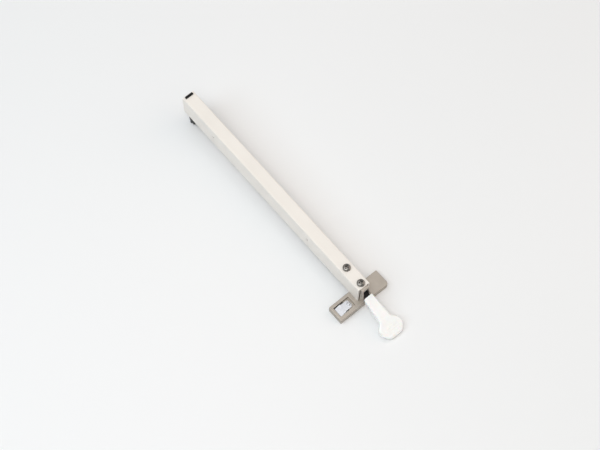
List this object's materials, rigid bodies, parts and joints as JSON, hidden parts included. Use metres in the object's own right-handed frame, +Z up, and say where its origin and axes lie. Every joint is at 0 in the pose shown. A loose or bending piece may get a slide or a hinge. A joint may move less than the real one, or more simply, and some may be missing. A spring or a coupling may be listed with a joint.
{
  "type": "gate opener arm",
  "caption": "Off-white channel arm on a tee bracket. A sprung thumb lever pushes a rod inside the arm and swings a pointed latching claw clear at the far end.",
  "frame": {"origin": "mouth of the inner fixing hole, in the middle of the base's underside, under the arm's centre line", "axes": "+X along the arm towards the thumb lever, +Y towards the plain foot, +Z up from the resting face to the arm's top"},
  "size_m": [0.3464, 0.066, 0.0534],
  "materials": {
    "powder_coated_aluminium": "smooth off-white powder coat on aluminium",
    "satin_nickel_casting": "satin nickel plate on die-cast zinc",
    "dark_nickel_screw": "dark nickel plate, smooth",
    "bright_zinc_plate": "bright zinc plate on steel",
    "ground_steel": "ground, lightly oiled",
    "black_nylon": "moulded glass-filled nylon, matte",
    "white_abs": "moulded, glossy"
  },
  "bodies": {
    "arm": {"arm_channel": "powder_coated_aluminium", "tee_bracket": "satin_nickel_casting", "front_top_screw": "dark_nickel_screw", "rear_top_screw": "dark_nickel_screw", "leaf_plate": "bright_zinc_plate", "leaf_rivet": "bright_zinc_plate", "lever_pivot_pin": "ground_steel", "front_rod_guide": "black_nylon", "guide_pin": "ground_steel", "rear_rod_guide": "black_nylon", "spring_washer": "bright_zinc_plate", "claw_pivot_pin": "ground_steel", "end_plug": "black_nylon"},
    "lever": {"lever_core": "black_nylon", "lever_grip": "white_abs", "lever_link_pin": "ground_steel"},
    "rod": {"push_rod": "ground_steel", "front_rod_eye": "ground_steel", "rear_rod_eye": "ground_steel", "front_lock_nut": "bright_zinc_plate", "rear_lock_nut": "bright_zinc_plate", "spring_collar": "bright_zinc_plate", "return_spring": "ground_steel"},
    "claw": {"claw": "black_nylon", "claw_link_pin": "ground_steel"}
  },
  "joints": [
    {"name": "lever_press", "type": "hinge", "parent": "arm", "child": "lever", "pos_m": [-0.0052, 0, 0.025], "axis": [0, 1, 0], "range_deg": [0, 18], "stiffness_Nm_per_rad": 0.5, "springref_deg": -17.19},
    {"name": "rod_slide", "type": "slide", "parent": "arm", "child": "rod", "axis": [-1, 0, 0], "range_m": [0, 0.00283], "deforming": ["return_spring"]},
    {"name": "claw_swing", "type": "hinge", "parent": "arm", "child": "claw", "pos_m": [-0.2357, 0, 0.02399], "axis": [0, 1, 0], "range_deg": [0, 20.25]}
  ],
  "couplings": [
    {"joint": "rod_slide", "follows": "lever_press", "m_per_rad": 0.009},
    {"joint": "claw_swing", "follows": "lever_press", "ratio": 1.125}
  ]
}
